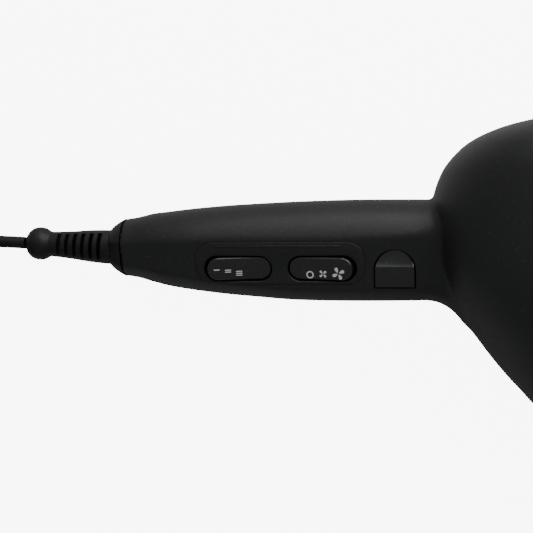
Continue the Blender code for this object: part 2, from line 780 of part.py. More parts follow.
def nozzle_ring(y, wide, thin, power):
    """A superellipse across the barrel, from round at power 2 to nearly square ended."""
    ring = []
    for point in circle(1.0, 0.0, 32):
        x = math.copysign(abs(point.x) ** (2 / power), point.x)
        z = math.copysign(abs(point.y) ** (2 / power), point.y)
        ring.append(Vector((thin * x * MM, y * MM, wide * z * MM)))
    return ring


def make_concentrator(lying, finish):
    """A push-on nozzle: a round collar over the barrel, which flattens to a slot."""
    outer = (
        (-86.0, 24.6, 24.6, 2.0),
        (-101.0, 24.6, 24.6, 2.0),
        (-107.0, 25.2, 23.0, 2.0),
        (-116.0, 27.4, 18.0, 2.2),
        (-126.0, 30.4, 11.6, 2.6),
        (-134.0, 32.4, 7.4, 3.0),
        (-140.0, 33.2, 5.6, 3.4),
    )
    inner = (
        (-140.0, 31.6, 4.0, 3.4),
        (-134.0, 30.8, 5.8, 3.0),
        (-126.0, 28.8, 10.0, 2.6),
        (-116.0, 25.6, 16.4, 2.2),
        (-107.0, 23.0, 21.0, 2.0),
        (-102.2, 22.4, 22.4, 2.0),
        (-86.0, 22.4, 22.4, 2.0),
    )
    rings = [nozzle_ring(*row) for row in (*outer, *inner)]
    piece("concentrator_nozzle", bridge(bmesh.new(), rings, closed=True), finish, lying)


# ---------------------------------------------------------------- wires and cord


def tube(name, points, radius, resolution, finish, parent=None):
    """A wire or cord as a curve with a round bevel and filled caps. Points are in millimetres."""
    data = bpy.data.curves.new(name, "CURVE")
    data.dimensions = "3D"
    spline = data.splines.new("POLY")
    spline.points.add(len(points) - 1)
    for target, point in zip(spline.points, points):
        target.co = (*(value * MM for value in point), 1.0)
    data.bevel_depth = radius
    data.bevel_resolution = resolution
    data.use_fill_caps = True
    data.materials.append(finish)
    made = bpy.data.objects.new(name, data)
    bpy.context.scene.collection.objects.link(made)
    made.parent = parent
    return made


def make_leads(lying, live, neutral):
    """The insulated leads between the cord, the switches, the heater and the motor."""
    routes = {
        "live_lead": (
            live,
            ((-161.4, 1.9, 1.0), (-157, 2.6, 1.6), (-150, 4.2, 2.4), (-138, 4.4, 3.0), (-124, 4.4, 3.2), (-119, 4.3, 3.2)),
        ),
        "neutral_lead": (
            neutral,
            (
                (-161.4, -0.5, -1.2),
                (-156, 1.6, -4.0),
                (-148, 4.4, -6.0),
                (-110, 4.6, -6.0),
                (-76, 4.6, -6.4),
                (-60, 0.0, -8.4),
                (-46, -7.0, -10.4),
                (-34, -20.0, -11.6),
                (-22, -28.0, -10.0),
                (-13, -30.0, -4.0),
            ),
        ),
        "heater_lead": (
            live,
            (
                (-127.0, 4.4, -1.8),
                (-116, 4.6, -2.4),
                (-76, 4.6, -2.6),
                (-60, -1.0, -2.6),
                (-46, -9.4, -1.8),
                (-34, -19.0, -1.0),
                (-24, -28.0, 1.6),
                (-13, -30.0, 4.0),
            ),
        ),
        "motor_lead_1": (
            live,
            ((-93.0, 4.6, 2.0), (-76, 4.6, 1.8), (-60, -1.6, 3.0), (-46, -9.4, 5.4), (-32, -17.0, 7.4), (-18, -21.9, 6.4), (-12, -21.9, 5.6)),
        ),
        "motor_lead_2": (
            neutral,
            ((-93.0, 4.6, 6.0), (-76, 4.6, 6.2), (-60, -1.6, 8.6), (-46, -9.4, 11.4), (-32, -18.0, 12.6), (-18, -21.9, 11.4), (-9, -21.9, 9.4)),
        ),
    }
    for name, (finish, points) in routes.items():
        tube(name, smooth_rows(points, 2), 0.9 * MM, 1, finish, lying)


def make_cord(jacket, tie_finish):
    """The free cord lies on the table: a short run from the boot, a tied coil, and a tail to the plug."""
    tube("cord", smooth_rows(CORD_ROUTE, 1), CORD_RADIUS, 2, jacket)
    tube("cord_tail", smooth_rows(TAIL_ROUTE, 1), CORD_RADIUS, 2, jacket)
    low, high = COIL_BASE, COIL_BASE + COIL_HEIGHT
    near, far = COIL_MEAN_RADIUS - COIL_HALF_WIDTH, COIL_MEAN_RADIUS + COIL_HALF_WIDTH
    corner = 2 * MM
    profile = [
        (near + corner, low),
        (far - corner, low),
        (far, low + corner),
        (far, high - corner),
        (far - corner, high),
        (near + corner, high),
        (near, high - corner),
        (near, low + corner),
    ]
    scaled = [(radius / MM, height / MM) for radius, height in profile]
    piece("cord_coil", turned(scaled, 32, True, Matrix.Translation(COIL_CENTRE)), jacket)
    place = Matrix.Translation(COIL_CENTRE) @ Matrix.Rotation(math.radians(-35), 4, "Z")
    thick = 0.8
    inner = ((near / MM - 0.9, 0.85), (far / MM + 0.3, high / MM + 0.3))
    outer = ((inner[0][0] - thick, 0.05), (inner[1][0] + thick, inner[1][1] + thick))
    tie = piece("cord_tie", box((outer[0][0], -4, outer[0][1]), (outer[1][0], 4, outer[1][1]), place), tie_finish)
    hollow = box((inner[0][0], -9, inner[0][1]), (inner[1][0], 9, inner[1][1]), place)
    cut(tie, helper("cord_tie_hollow", hollow, None))


def plug_ring(y, wide, thick):
    ring = []
    for x, z in rounded_outline(wide * MM, thick * MM, min(wide, thick) * 0.62 * MM, 3):
        ring.append(Vector((x, y * MM, z)))
    return ring


def make_plug(jacket, brass):
    """A two pin contour plug. It lies flat on the table with its pins pointing away from the coil."""
    stations = (
        (0.0, 3.4, 3.4),
        (-12.0, 5.0, 4.6),
        (-15.0, 9.6, 7.4),
        (-21.0, 16.0, 8.4),
        (-28.0, 17.6, 8.5),
        (-33.0, 17.0, 8.5),
        (-35.0, 15.6, 7.4),
    )
    rings = [plug_ring(*row) for row in stations]
    body = piece("plug_body", bridge(bmesh.new(), rings), jacket)
    body.location = PLUG_PLACE
    for i, side in enumerate((-1, 1), 1):
        along = Matrix.Rotation(math.radians(90), 4, "X")
        place = Matrix.Translation((side * 9.5 * MM, 0, 0)) @ along
        profile = ((2.4, 35.3), (2.4, 53.0), (1.6, 54.0))
        pin = piece(f"plug_pin_{i}", turned(profile, 16, frame=place), brass)
        pin.location = PLUG_PLACE


def main():
    clear_scene()
    lying = bpy.data.objects.new("lying_dryer", None)
    bpy.context.scene.collection.objects.link(lying)
    lying.location = LYING_PLACE
    lying.rotation_euler = (0.0, -LYING_TILT, 0.0)

    shell = material("matte_shell", (0.022, 0.022, 0.022), 0.5)
    gloss = material("gloss_control", (0.012, 0.012, 0.012), 0.2)
    rubber = material("soft_pvc", (0.018, 0.018, 0.018), 0.6)
    inner_plastic = material("inner_plastic", (0.06, 0.06, 0.06), 0.5)
    fan_plastic = material("fan_plastic", (0.75, 0.74, 0.7), 0.5)
    steel = material("steel", (0.55, 0.55, 0.55), 0.3, 1.0)
    iron = material("magnet", (0.12, 0.12, 0.12), 0.6, 0.5)
    copper = material("copper", (0.7, 0.32, 0.16), 0.35, 1.0)
    carbon = material("carbon", (0.03, 0.03, 0.03), 0.7)
    mica = material("mica", (0.55, 0.5, 0.4), 0.4)
    heating_wire = material("heating_wire", (0.4, 0.38, 0.35), 0.35, 1.0)
    ceramic = material("ceramic", (0.8, 0.78, 0.74), 0.5)
    board = material("circuit_board", (0.05, 0.16, 0.08), 0.5)
    screen = material("filter_mesh", (0.3, 0.3, 0.3), 0.4, 1.0)
    brass = material("plug_pin", (0.6, 0.58, 0.52), 0.3, 1.0)
    live = material("brown_lead", (0.2, 0.09, 0.04), 0.5)
    neutral = material("blue_lead", (0.05, 0.12, 0.35), 0.5)

    make_housing(lying, shell)
    make_screws(lying, steel)
    make_control_plate(lying, shell)
    make_rocker("heat", HEAT_X, ROCKER_TILT, lying, gloss, steel, inner_plastic)
    make_rocker("speed", SPEED_X, -ROCKER_TILT, lying, gloss, steel, inner_plastic)
    make_cool_shot(lying, gloss, inner_plastic)
    make_end_cap(lying, rubber)
    make_strain_relief(lying, rubber)
    make_cord_clamp(lying, inner_plastic, steel, rubber)
    make_rear_filter(lying, shell, screen)
    make_fan(lying, inner_plastic, fan_plastic)
    make_motor(lying, steel, steel, iron, copper, carbon, inner_plastic, board)
    make_heater(lying, mica, heating_wire, steel, ceramic)
    make_outlet(lying, inner_plastic, steel)
    make_concentrator(lying, shell)
    make_leads(lying, live, neutral)
    make_cord(rubber, rubber)
    make_plug(rubber, brass)


main()
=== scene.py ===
import math

import bmesh
import bpy
from mathutils import Matrix, Vector


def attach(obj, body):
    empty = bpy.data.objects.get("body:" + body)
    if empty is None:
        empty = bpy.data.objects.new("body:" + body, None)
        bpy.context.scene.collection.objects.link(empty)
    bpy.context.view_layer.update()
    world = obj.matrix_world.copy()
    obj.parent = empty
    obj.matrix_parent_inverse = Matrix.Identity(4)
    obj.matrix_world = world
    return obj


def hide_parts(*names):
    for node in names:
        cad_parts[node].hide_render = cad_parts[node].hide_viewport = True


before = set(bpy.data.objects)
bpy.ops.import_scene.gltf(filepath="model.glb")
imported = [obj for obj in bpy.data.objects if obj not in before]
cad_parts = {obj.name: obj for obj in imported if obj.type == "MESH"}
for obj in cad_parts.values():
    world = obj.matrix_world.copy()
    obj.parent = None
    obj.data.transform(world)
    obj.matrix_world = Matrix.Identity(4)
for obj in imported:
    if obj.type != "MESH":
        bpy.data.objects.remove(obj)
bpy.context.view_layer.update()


# ---------------------------------------------------------------- camera, table and light
# The camera looks straight down on the table, a little to the left of the head. The table glows
# for the camera alone, so it reads as a plain white backdrop and throws no light on the dryer.
def add_object(name, data):
    made = bpy.data.objects.new(name, data)
    bpy.context.scene.collection.objects.link(made)
    return made


camera_data = bpy.data.cameras.new("camera")
camera_data.lens = 81
camera_data.sensor_width = 36
camera_data.clip_start = 0.01
camera = add_object("camera", camera_data)
camera.location = (-0.0360, 0.0365, 0.510)
bpy.context.scene.camera = camera

bpy.ops.mesh.primitive_plane_add(size=6, location=(0, 0, 0))
table = bpy.context.object
table.name = "table_top"
table_finish = bpy.data.materials.new("pale_table")
table_finish.use_nodes = True
table_shader = table_finish.node_tree.nodes["Principled BSDF"]
table_shader.inputs["Base Color"].default_value = (0.5, 0.5, 0.5, 1)
table_shader.inputs["Roughness"].default_value = 0.7
table_shader.inputs["Emission Color"].default_value = (1.0, 1.0, 1.0, 1)
light_path = table_finish.node_tree.nodes.new("ShaderNodeLightPath")
glow = table_finish.node_tree.nodes.new("ShaderNodeMath")
glow.operation = "MULTIPLY"
glow.inputs[1].default_value = 8.0
table_finish.node_tree.links.new(light_path.outputs["Is Camera Ray"], glow.inputs[0])
table_finish.node_tree.links.new(glow.outputs["Value"], table_shader.inputs["Emission Strength"])
table.data.materials.append(table_finish)

world = bpy.data.worlds.new("studio")
world.use_nodes = True
world.node_tree.nodes["Background"].inputs["Color"].default_value = (0.95, 0.97, 1.0, 1)
world.node_tree.nodes["Background"].inputs["Strength"].default_value = 0.45
bpy.context.scene.world = world


def soft_light(name, place, width, height, power):
    lamp = bpy.data.lights.new(name, "AREA")
    lamp.shape = "RECTANGLE"
    lamp.size = width
    lamp.size_y = height
    lamp.energy = power
    made = add_object(name, lamp)
    made.location = place
    middle_of_dryer = Vector((0, 0, 0.03))
    made.rotation_euler = (middle_of_dryer - Vector(place)).to_track_quat("-Z", "Y").to_euler()


soft_light("low_window", (0.3, 1.3, 0.6), 1.4, 0.5, 13)
soft_light("high_window", (0.15, 1.15, 0.95), 1.4, 0.7, 4)
soft_light("right_window", (0.7, 0.8, 1.0), 1.0, 0.7, 14)
soft_light("left_window", (-0.3, 1.1, 1.0), 1.0, 0.7, 2.4)
soft_light("ceiling", (-0.35, 0.2, 1.3), 0.9, 0.9, 0.5)


# ---------------------------------------------------------------- soft PVC
# One flexible black plastic makes the cord, its boot and the plug. It has a fine moulded grain,
# and a touch of dust and wear that changes its gloss.
def add_group(name, inputs, outputs):
    group = bpy.data.node_groups.new(name, "ShaderNodeTree")
    for label, kind, value in inputs:
        socket = group.interface.new_socket(label, in_out="INPUT", socket_type=kind)
        socket.default_value = value
    for label, kind in outputs:
        group.interface.new_socket(label, in_out="OUTPUT", socket_type=kind)
    return group, group.nodes.new("NodeGroupInput"), group.nodes.new("NodeGroupOutput")


def build_grain():
    """Moulded plastic: a grain for the bump, and soft patches for colour and roughness."""
    group, given, result = add_group(
        "moulded_grain",
        [
            ("Grain Scale", "NodeSocketFloat", 2600.0),
            ("Bump Strength", "NodeSocketFloat", 0.2),
            ("Colour", "NodeSocketColor", (0.02, 0.02, 0.02, 1)),
            ("Dust", "NodeSocketFloat", 0.06),
            ("Roughness", "NodeSocketFloat", 0.5),
            ("Spread", "NodeSocketFloat", 0.1),
        ],
        [
            ("Colour", "NodeSocketColor"),
            ("Roughness", "NodeSocketFloat"),
            ("Normal", "NodeSocketVector"),
        ],
    )
    add = group.nodes.new
    link = group.links.new
    place = add("ShaderNodeTexCoord")
    grain = add("ShaderNodeTexNoise")
    grain.inputs["Detail"].default_value = 2
    link(place.outputs["Object"], grain.inputs["Vector"])
    link(given.outputs["Grain Scale"], grain.inputs["Scale"])
    bump = add("ShaderNodeBump")
    bump.inputs["Distance"].default_value = 0.0001
    link(given.outputs["Bump Strength"], bump.inputs["Strength"])
    link(grain.outputs["Fac"], bump.inputs["Height"])
    patches = add("ShaderNodeTexNoise")
    patches.inputs["Scale"].default_value = 45
    patches.inputs["Detail"].default_value = 5
    link(place.outputs["Object"], patches.inputs["Vector"])
    speck = add("ShaderNodeTexNoise")
    speck.inputs["Scale"].default_value = 900
    speck.inputs["Detail"].default_value = 3
    link(place.outputs["Object"], speck.inputs["Vector"])
    rare = add("ShaderNodeMapRange")
    rare.inputs["From Min"].default_value = 0.62
    rare.inputs["From Max"].default_value = 0.78
    link(speck.outputs["Fac"], rare.inputs["Value"])
    amount = add("ShaderNodeMath")
    amount.operation = "MULTIPLY"
    link(rare.outputs["Result"], amount.inputs[0])
    link(given.outputs["Dust"], amount.inputs[1])
    dusty = add("ShaderNodeMix")
    dusty.data_type = "RGBA"
    dusty.inputs[7].default_value = (0.3, 0.29, 0.27, 1)
    link(amount.outputs["Value"], dusty.inputs[0])
    link(given.outputs["Colour"], dusty.inputs[6])
    link(dusty.outputs[2], result.inputs["Colour"])
    centred = add("ShaderNodeMath")
    centred.operation = "SUBTRACT"
    centred.inputs[1].default_value = 0.5
    link(patches.outputs["Fac"], centred.inputs[0])
    rough = add("ShaderNodeMath")
    rough.operation = "MULTIPLY_ADD"
    link(centred.outputs["Value"], rough.inputs[0])
    link(given.outputs["Spread"], rough.inputs[1])
    link(given.outputs["Roughness"], rough.inputs[2])
    link(rough.outputs["Value"], result.inputs["Roughness"])
    link(bump.outputs["Normal"], result.inputs["Normal"])
    return group


grain_group = build_grain()


def finish_from(name, node_group, values):
    """A material whose colour, roughness and normal come from a node group with these values."""
    made = bpy.data.materials.new(name)
    made.use_nodes = True
    tree = made.node_tree
    shader = tree.nodes["Principled BSDF"]
    group = tree.nodes.new("ShaderNodeGroup")
    group.node_tree = node_group
    for label, value in values.items():
        group.inputs[label].default_value = value
    tree.links.new(group.outputs["Colour"], shader.inputs["Base Color"])
    tree.links.new(group.outputs["Roughness"], shader.inputs["Roughness"])
    tree.links.new(group.outputs["Normal"], shader.inputs["Normal"])
    return made, shader


def moulded(name, colour, roughness, grain_scale=2600, bump=0.2, dust=0.05, spread=0.12, shine=0.5):
    values = {
        "Grain Scale": grain_scale,
        "Bump Strength": bump,
        "Colour": (*colour, 1),
        "Dust": dust,
        "Roughness": roughness,
        "Spread": spread,
    }
    made, shader = finish_from(name, grain_group, values)
    shader.inputs["Specular IOR Level"].default_value = shine
    return made


pvc = moulded(
    "soft_black_pvc", (0.004, 0.004, 0.004), 0.5, grain_scale=3200, bump=0.25, dust=0.06, shine=0.2
)


# ---------------------------------------------------------------- cord
# A round two core cord of soft PVC. It leaves the boot, sinks to the table, and is wound into a
# neat coil of four layers. Its tail comes off the top and goes down to the plug.
cord_way = [
    (-136.9, 46.45, 7.4),
    (-142.0, 46.75, 6.5),
    (-148.0, 47.05, 5.5),
    (-154.0, 47.3, 4.6),
    (-161.0, 47.45, 3.9),
    (-168.0, 47.55, 3.7),
    (-175.0, 47.58, 3.7),
    (-184.0, 47.6, 3.8),
]
coil_centre = Vector((-193.0, 11.0, 0.0))
# Turns wound so far, radius, and height of the cord's middle.
coil_keys = (
    (0.0, 36.6, 3.8),
    (1.8, 27.2, 3.8),
    (2.15, 27.2, 8.9),
    (3.95, 36.6, 8.9),
    (4.3, 36.6, 14.0),
    (6.1, 27.2, 14.0),
    (6.45, 27.2, 19.1),
    (8.25, 36.6, 19.1),
)
for start, end in zip(coil_keys, coil_keys[1:]):
    steps = max(4, round((end[0] - start[0]) * 36))
    for step in range(steps):
        share = step / steps
        lift = share * share * (3 - 2 * share) if end[2] != start[2] else share
        turns = start[0] + (end[0] - start[0]) * share
        radius = start[1] + (end[1] - start[1]) * share
        height = start[2] + (end[2] - start[2]) * lift
        angle = math.pi / 2 + 2 * math.pi * turns
        x, y = coil_centre.x + radius * math.cos(angle), coil_centre.y + radius * math.sin(angle)
        cord_way.append((x, y, height))
cord_way += [
    (-229.7, 11.0, 19.1),
    (-229.9, 3.0, 19.1),
    (-230.0, -5.0, 18.9),
    (-229.9, -13.0, 18.3),
    (-229.8, -20.0, 17.6),
    (-229.4, -28.0, 16.2),
    (-228.8, -37.0, 13.9),
    (-228.0, -46.0, 11.5),
    (-227.4, -54.0, 9.8),
    (-227.1, -60.0, 9.0),
    (-227.0, -65.0, 8.7),
]


def cable(name, points, radius, finish, resolution=5):
    """A bevelled curve that follows the points, given in millimetres."""
    data = bpy.data.curves.new(name, "CURVE")
    data.dimensions = "3D"
    line = data.splines.new("POLY")
    line.points.add(len(points) - 1)
    for target, point in zip(line.points, points):
        target.co = (*(value / 1000 for value in point), 1)
    data.bevel_depth = radius
    data.bevel_resolution = resolution
    data.use_fill_caps = True
    data.materials.append(finish)
    return add_object(name, data)


free_cord = cable("mains_cord", cord_way, 0.0025, pvc)
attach(free_cord, "dryer")
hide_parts("cord", "cord_coil", "cord_tail")

# ---------------------------------------------------------------- housing
# Two moulded halves in matt black plastic, screwed together along the barrel's middle: an oval
# head that narrows to a round barrel, and a handle with a flat along it for the controls.
lying = Matrix.Translation((0.09266, 0.04285, 0.04625)) @ Matrix.Rotation(math.radians(-10), 4, "Y")
shell_black = moulded(
    "matt_black_shell", (0.005, 0.005, 0.0052), 0.46, grain_scale=2300, spread=0.14, shine=0.27
)
face_turn = math.radians(16)
face_height = 13.9


def tidy(made, angle=35):
    """Turns every face outwards and shades the piece smooth up to that angle."""
    bpy.ops.object.select_all(action="DESELECT")
    made.select_set(True)
    bpy.context.view_layer.objects.active = made
    bpy.ops.object.mode_set(mode="EDIT")
    bpy.ops.mesh.select_all(action="SELECT")
    bpy.ops.mesh.normals_make_consistent(inside=False)
    bpy.ops.object.mode_set(mode="OBJECT")
    bpy.ops.object.shade_smooth_by_angle(angle=math.radians(angle))


def settle(made, place, finish, angle=35):
    """Moves a piece modelled in millimetres to its place, which goes into its mesh, in metres."""
    made.data.transform(place @ Matrix.Scale(0.001, 4))
    made.data.materials.clear()
    made.data.materials.append(finish)
    tidy(made, angle)
    return made


def skin(name, rings, closed=False):
    """Faces between rings of points. A closed chain joins its last ring to its first."""
    shape = bmesh.new()
    loops = [[shape.verts.new(point) for point in ring] for ring in rings]
    pairs = list(zip(loops, loops[1:])) + ([(loops[-1], loops[0])] if closed else [])
    for near, far in pairs:
        for i in range(len(near)):
            j = (i + 1) % len(near)
            shape.faces.new((near[i], near[j], far[j], far[i]))
    if not closed:
        shape.faces.new(loops[0])
        shape.faces.new(loops[-1])
    mesh = bpy.data.meshes.new(name)
    shape.to_mesh(mesh)
    shape.free()
    return add_object(name, mesh)


def carve(target, tool, operation="DIFFERENCE"):
    bpy.ops.object.select_all(action="DESELECT")
    bpy.context.view_layer.objects.active = target
    target.select_set(True)
    change = target.modifiers.new("carve", "BOOLEAN")
    change.operation = operation
    change.solver = "EXACT"
    change.object = tool
    bpy.ops.object.modifier_apply(modifier="carve")
    bpy.data.objects.remove(tool, do_unlink=True)


def between(p, q, r, s, t):
    """A smooth value between q and r, on a Catmull-Rom curve through all four."""
    square, cube = 2 * p - 5 * q + 4 * r - s, 3 * q - p - 3 * r + s
    return 0.5 * (2 * q + (r - p) * t + square * t**2 + cube * t**3)


def finer(rows, steps):
    """Rows of numbers with smooth rows put in between."""
    ends = [rows[0], *rows, rows[-1]]
    result = [tuple(rows[0])]
    for around in zip(ends, ends[1:], ends[2:], ends[3:]):
        for i in range(1, steps + 1):
            result.append(tuple(between(*four, i / steps) for four in zip(*around)))
    return result


# Place on the barrel's axis, reach towards the handle, reach away from it, and half height across.
head_rows = (
    (50.3, 25.6, 25.6, 25.6),
    (49.4, 30.4, 30.0, 30.4),
    (47.2, 38.9, 34.6, 35.2),
    (43.3, 47.9, 38.8, 39.4),
    (38.5, 54.3, 41.7, 42.2),
    (31.0, 60.2, 43.6, 43.9),
    (20.3, 63.9, 44.2, 44.2),
    (10.0, 64.3, 44.2, 44.2),
    (-2.0, 62.8, 43.8, 44.2),
    (-14.0, 58.7, 42.4, 43.8),
    (-25.4, 52.9, 39.5, 41.0),
    (-36.0, 45.6, 35.4, 36.6),
    (-48.0, 36.0, 29.6, 30.2),
    (-58.0, 26.9, 25.0, 25.2),
    (-66.0, 22.2, 22.2, 22.2),
    (-98.0, 22.0, 22.0, 22.0),
)


wall = 2.4


def head_oval(name, inset, steps, sides):
    rows = finer(head_rows, steps)
    if inset:
        rim, mouth = rows[0], rows[-1]
        below_rim = [row for row in rows[:-1] if row[0] < 43.4]
        rows = [(rim[0] - inset, *rim[1:]), *below_rim, (mouth[0] - 8, *mouth[1:])]
    rings = []
    for place, near, far, half in rows:
        middle, reach, height = (far - near) / 2, (far + near) / 2 - inset, half - inset
        turn = [2 * math.pi * i / sides for i in range(sides)]
        rings.append([(middle + reach * math.cos(a), place, height * math.sin(a)) for a in turn])
    return settle(skin(name, rings), lying, shell_black)


# Place along the handle, edge towards the intake, edge towards the outlet, and half thickness.
handle_rows = (
    (-189.2, 13.4, -10.2, 11.4),
    (-184.0, 14.1, -10.9, 12.1),
    (-177.5, 15.6, -12.7, 13.4),
    (-170.5, 16.4, -14.4, 14.6),
    (-160.5, 17.5, -16.0, 15.7),
    (-147.0, 18.6, -17.6, 16.0),
    (-134.0, 19.3, -18.7, 16.0),
    (-117.5, 20.0, -19.9, 16.0),
    (-95.0, 20.5, -20.2, 16.1),
    (-73.0, 20.4, -20.0, 16.6),
    (-65.5, 20.3, -19.9, 17.2),
    (-60.3, 20.3, -21.2, 18.4),
    (-57.2, 20.3, -23.1, 19.4),
    (-54.1, 20.3, -25.8, 20.6),
    (-50.0, 20.0, -30.5, 22.0),
    (-38.0, 19.0, -34.0, 24.0),
)


def handle_section(row, inset=0.0, round_points=72, flat_points=12):
    """An oval with a straight chord for the control face, whose two corners run as clean lines."""
    place, top, bottom, half = row
    centre, reach, depth = (top + bottom) / 2, (top - bottom) / 2 - inset, half - inset
    half_at_full_face = 15.7
    level = min(face_height, half * face_height / half_at_full_face) - inset
    across, up = -math.sin(face_turn) * reach, math.cos(face_turn) * depth
    share = min((level + math.sin(face_turn) * centre) / math.hypot(across, up), 0.9995)
    middle, spread = math.atan2(up, across), math.acos(share)
    points = []
    for i in range(round_points):
        angle = middle + spread + (2 * math.pi - 2 * spread) * i / (round_points - 1)
        points.append(Vector((place, centre + reach * math.cos(angle), depth * math.sin(angle))))
    start, end = points[-1], points[0]
    points += [start.lerp(end, i / (flat_points + 1)) for i in range(1, flat_points + 1)]
    return points


handle_rings = [handle_section(row) for row in finer(handle_rows, 4)]
head_out = head_oval("housing_upper_shell", 0, 5, 112)
carve(head_out, settle(skin("handle_outside", handle_rings), lying, shell_black), "UNION")


def blend_junction(made):
    """Melts the handle into the head, but keeps the crisp corner on the intake side."""
    bpy.ops.object.select_all(action="DESELECT")
    bpy.context.view_layer.objects.active = made
    made.select_set(True)
    fine = made.modifiers.new("fine", "REMESH")
    fine.mode = "VOXEL"
    fine.voxel_size = 0.0009
    bpy.ops.object.modifier_apply(modifier="fine")
    near = made.vertex_groups.new(name="junction")
    everywhere = made.vertex_groups.new(name="everywhere")
    back = lying.inverted()
    junction_middle, junction_reach, corner_start = -55, 8, 14
    for vert in made.data.vertices:
        spot = back @ vert.co * 1000
        along = max(0.0, 1 - max(0.0, abs(spot.x - junction_middle) - junction_reach) / 7)
        across = min(1.0, max(0.0, (corner_start - spot.y) / 8))
        near.add([vert.index], along * across, "REPLACE")
        everywhere.add([vert.index], 1.0, "REPLACE")
    for group, factor, times in (("junction", 0.5, 70), ("everywhere", 0.5, 3)):
        soften = made.modifiers.new("soften", "SMOOTH")
        soften.vertex_group = group
        soften.factor = factor
        soften.iterations = times
        bpy.ops.object.modifier_apply(modifier="soften")
    made.vertex_groups.clear()


blend_junction(head_out)

hollow = head_oval("hollow", wall, 1, 48)
hollow_rows = [(row[0] - 6 if row[0] < -187 else row[0], *row[1:]) for row in finer(handle_rows, 1)]
grip_hollow = skin("grip_hollow", [handle_section(row, wall, 36, 6) for row in hollow_rows])
carve(hollow, settle(grip_hollow, lying, shell_black), "UNION")
screw_spots = ((-151.0, 9.5), (-112.0, 10.5), (-72.0, 10.5), (-49.0, -18.0))


def rod(name, x, y, low, high, radius, frame_of=lying, sides=32):
    bpy.ops.mesh.primitive_cylinder_add(
        vertices=sides, radius=radius, depth=high - low, location=(x, y, (high + low) / 2)
    )
    made = bpy.context.object
    made.name = name
    bpy.ops.object.transform_apply(location=True, rotation=True, scale=True)
    return settle(made, frame_of, shell_black)


for x, y in screw_spots:
    carve(hollow, rod("boss", x, y, -60, 60, 3.1))
carve(head_out, hollow)
along_barrel = lying @ Matrix.Rotation(math.radians(-90), 4, "X")
carve(head_out, rod("intake", 0, 0, 40, 60, 23.0, along_barrel, 96))


def face_frame(x, across=0.0):
    """The frame of the control face at x: X along the handle, and Z straight out of the face."""
    offset = Matrix.Translation(Vector((x, across, face_height)) * 0.001)
    return lying @ Matrix.Rotation(face_turn, 4, "X") @ offset


def edit_edges(made, test):
    """Goes into edit mode with only those edges selected whose two ends pass the test."""
    bpy.ops.object.select_all(action="DESELECT")
    bpy.context.view_layer.objects.active = made
    made.select_set(True)
    shape = bmesh.new()
    shape.from_mesh(made.data)
    for part in (*shape.verts, *shape.edges, *shape.faces):
        part.select = False
    for line in shape.edges:
        if test(*[vert.co for vert in line.verts]):
            line.select_set(True)
    shape.to_mesh(made.data)
    shape.free()
    bpy.ops.object.mode_set(mode="EDIT")
    bpy.ops.mesh.select_mode(type="EDGE")


def bevel_edges(made, test, width, segments=4):
    edit_edges(made, test)
    bpy.ops.mesh.bevel(offset=width, segments=segments, affect="EDGES")
    bpy.ops.object.mode_set(mode="OBJECT")


def shape_top(made, cuts, above, lift):
    """Cuts rows of edges across a piece, then lifts or sinks what stands above a level."""
    edit_edges(made, lambda a, b: False)
    for point, normal in cuts:
        bpy.ops.mesh.select_all(action="SELECT")
        bpy.ops.mesh.bisect(plane_co=point, plane_no=normal)
    bpy.ops.object.mode_set(mode="OBJECT")
    for vert in made.data.vertices:
        if vert.co.z > above:
            vert.co.z += lift(vert.co)


def block(name, size_x, size_y, low, high, middle=(0, 0)):
    bpy.ops.mesh.primitive_cube_add(
        size=1, location=(*middle, (low + high) / 2), scale=(size_x, size_y, high - low)
    )
    made = bpy.context.object
    made.name = name
    bpy.ops.object.transform_apply(location=True, rotation=True, scale=True)
    return made


def slab(name, size_x, size_y, low, high, corner, steps=10):
    """A block with round corners, about the origin of its own frame."""
    made = block(name, size_x, size_y, low, high)
    bevel_edges(made, lambda a, b: abs(a.z - b.z) > 1e-4, corner * 0.999, steps)
    return made


def arch(name, grow, low, high):
    """The button's outline: a half circle on straight sides, with a flat foot."""
    radius, centre, foot = 7.75 + grow, -4, -11.1 - grow
    outline = [(-radius, foot), (radius, foot)]
    for i in range(33):
        angle = math.pi * i / 32
        outline.append((radius * math.cos(angle), centre + radius * math.sin(angle)))
    return skin(name, [[(x, y, z) for x, y in outline] for z in (low, high)])


# Places along the face, and across it.
plate_x, plate_across = -123.25, -1.3
heat_x, speed_x, rocker_across = -139.9, -106.4, -3.5
button_x = -78.0
recess = slab("recess", 68.1, 17.6, -1.8, 6, 7.3)
well = slab("well", 62.4, 10.8, -6, 1, 4, 4)
carve(head_out, settle(recess, face_frame(plate_x, plate_across), shell_black))
carve(head_out, settle(well, face_frame((heat_x + speed_x) / 2, rocker_across), shell_black))
carve(head_out, settle(arch("button_hole", 0.45, -6, 6), face_frame(button_x), shell_black))
head_low = head_out.copy()
head_low.data = head_out.data.copy()
head_low.name = "housing_lower_shell"
bpy.context.scene.collection.objects.link(head_low)
seam = 0.15
for half, low, high in ((head_out, -90, seam), (head_low, -seam, 90)):
    carve(half, settle(block("other_half", 360, 260, low, high, (-80, -30)), lying, shell_black))
for x, y in screw_spots:
    carve(head_low, rod("counterbore", x, y, -60, -6, 3.0))
for half, node in ((head_out, "housing_upper"), (head_low, "housing_lower")):
    tidy(half, 28)
    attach(half, "dryer")
    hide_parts(node)


